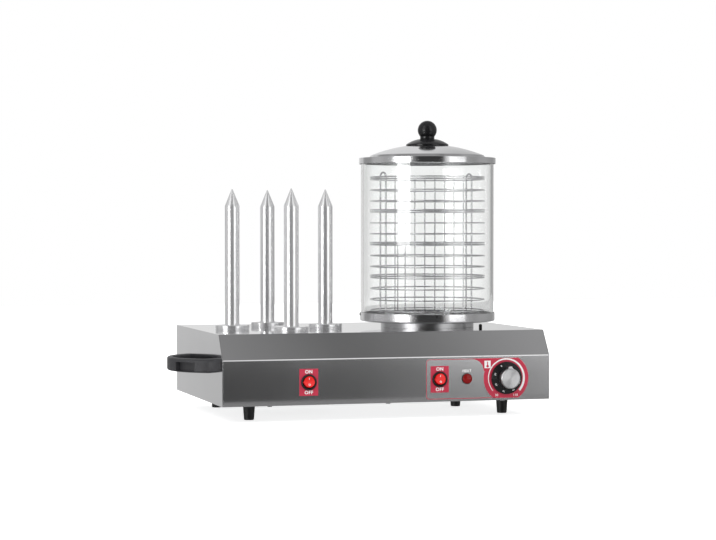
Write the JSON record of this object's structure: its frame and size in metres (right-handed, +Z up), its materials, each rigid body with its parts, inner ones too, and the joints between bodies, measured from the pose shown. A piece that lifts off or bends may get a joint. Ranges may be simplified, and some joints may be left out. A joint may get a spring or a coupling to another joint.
{
  "type": "hot dog toaster",
  "caption": "Counter-top hot dog machine: heated toasting spikes beside a glass steamer with a wire basket and a lift-off domed lid.",
  "frame": {"origin": "on the surface that the feet stand on, under the middle of the whole machine", "axes": "+X to the operator's right, +Y to the back, +Z up"},
  "size_m": [0.578, 0.3512, 0.4349],
  "materials": {
    "mirror_steel": "mirror polished",
    "satin_steel": "satin",
    "galvanised_steel": "dull",
    "screw_steel": "zinc",
    "black_plastic": "fine grain",
    "knob_plastic": "gloss",
    "turned_aluminium": "fine turned",
    "black_rubber": "matte",
    "clear_rubber": "translucent",
    "clear_glass": "clear",
    "basket_wire": "bright wire",
    "element_steel": "heat darkened",
    "copper_alloy": "plain",
    "label_steel": "printed",
    "red_plate": "satin print",
    "red_rocker": "translucent",
    "red_lens": "translucent",
    "white_ceramic": "plain"
  },
  "bodies": {
    "base": {"base_collar": "turned_aluminium", "base_plate": "galvanised_steel", "base_screws": "screw_steel", "boiler_basin": "satin_steel", "cable_gland": "black_plastic", "control_label": "label_steel", "foot_front_left": "black_plastic", "foot_front_right": "black_plastic", "foot_rear_left": "black_plastic", "foot_rear_right": "black_plastic", "foot_screws": "screw_steel", "glass_seal": "clear_rubber", "handle_left": "black_plastic", "handle_right": "black_plastic", "handle_screws": "screw_steel", "heater_plate": "galvanised_steel", "heating_element": "element_steel", "housing_shell": "mirror_steel", "lamp_body": "black_plastic", "lamp_lens": "red_lens", "sensor_bulb": "copper_alloy", "side_panel_left": "satin_steel", "side_panel_right": "satin_steel", "spike_1": "turned_aluminium", "spike_2": "turned_aluminium", "spike_3": "turned_aluminium", "spike_4": "turned_aluminium", "spike_collar_1": "turned_aluminium", "spike_collar_2": "turned_aluminium", "spike_collar_3": "turned_aluminium", "spike_collar_4": "turned_aluminium", "spike_heater_1": "element_steel", "spike_heater_2": "element_steel", "spike_heater_3": "element_steel", "spike_heater_4": "element_steel", "spike_nuts": "screw_steel", "switch_body_1": "black_plastic", "switch_body_2": "black_plastic", "switch_labels": "red_plate", "terminal_block": "white_ceramic", "thermostat_body": "galvanised_steel", "top_plug": "black_rubber", "tray": "satin_steel", "tray_studs": "black_rubber"},
    "glass": {"glass_cylinder": "clear_glass"},
    "basket": {"basket_rings": "basket_wire", "basket_hoops": "basket_wire", "basket_uprights": "basket_wire", "basket_floor": "basket_wire", "basket_ears": "basket_wire"},
    "lid_ring": {"lid_seal": "clear_rubber"},
    "lid": {"lid_shell": "satin_steel", "lid_knob_skirt": "knob_plastic", "lid_knob": "knob_plastic", "lid_screw": "screw_steel"},
    "dial": {"thermostat_shaft": "copper_alloy", "thermostat_knob": "knob_plastic", "knob_cap": "turned_aluminium"},
    "rocker_1": {"switch_rocker_1": "red_rocker"},
    "rocker_2": {"switch_rocker_2": "red_rocker"}
  },
  "joints": [
    {"name": "glass_lift", "type": "slide", "parent": "base", "child": "glass", "axis": [0, 0, 1], "range_m": [0, 0.26]},
    {"name": "basket_lift", "type": "slide", "parent": "base", "child": "basket", "axis": [0, 0, 1], "range_m": [0, 0.25]},
    {"name": "seal_with_basket", "type": "slide", "parent": "glass", "child": "lid_ring", "axis": [0, 0, 1], "range_m": [0, 0.25]},
    {"name": "lid_lift", "type": "slide", "parent": "lid_ring", "child": "lid", "axis": [0, 0, 1], "range_m": [0, 0.1]},
    {"name": "knob_turn", "type": "hinge", "parent": "base", "child": "dial", "pos_m": [0.1767, -0.1558, 0.05625], "axis": [0, 1, 0], "range_deg": [0, 270]},
    {"name": "switch_1_rock", "type": "hinge", "parent": "base", "child": "rocker_1", "pos_m": [-0.1195, -0.1558, 0.05625], "axis": [1, 0, 0], "range_deg": [0, 24]},
    {"name": "switch_2_rock", "type": "hinge", "parent": "base", "child": "rocker_2", "pos_m": [0.075, -0.1562, 0.05625], "axis": [1, 0, 0], "range_deg": [0, 24]}
  ],
  "couplings": [
    {"joint": "seal_with_basket", "follows": "basket_lift", "ratio": 1}
  ]
}
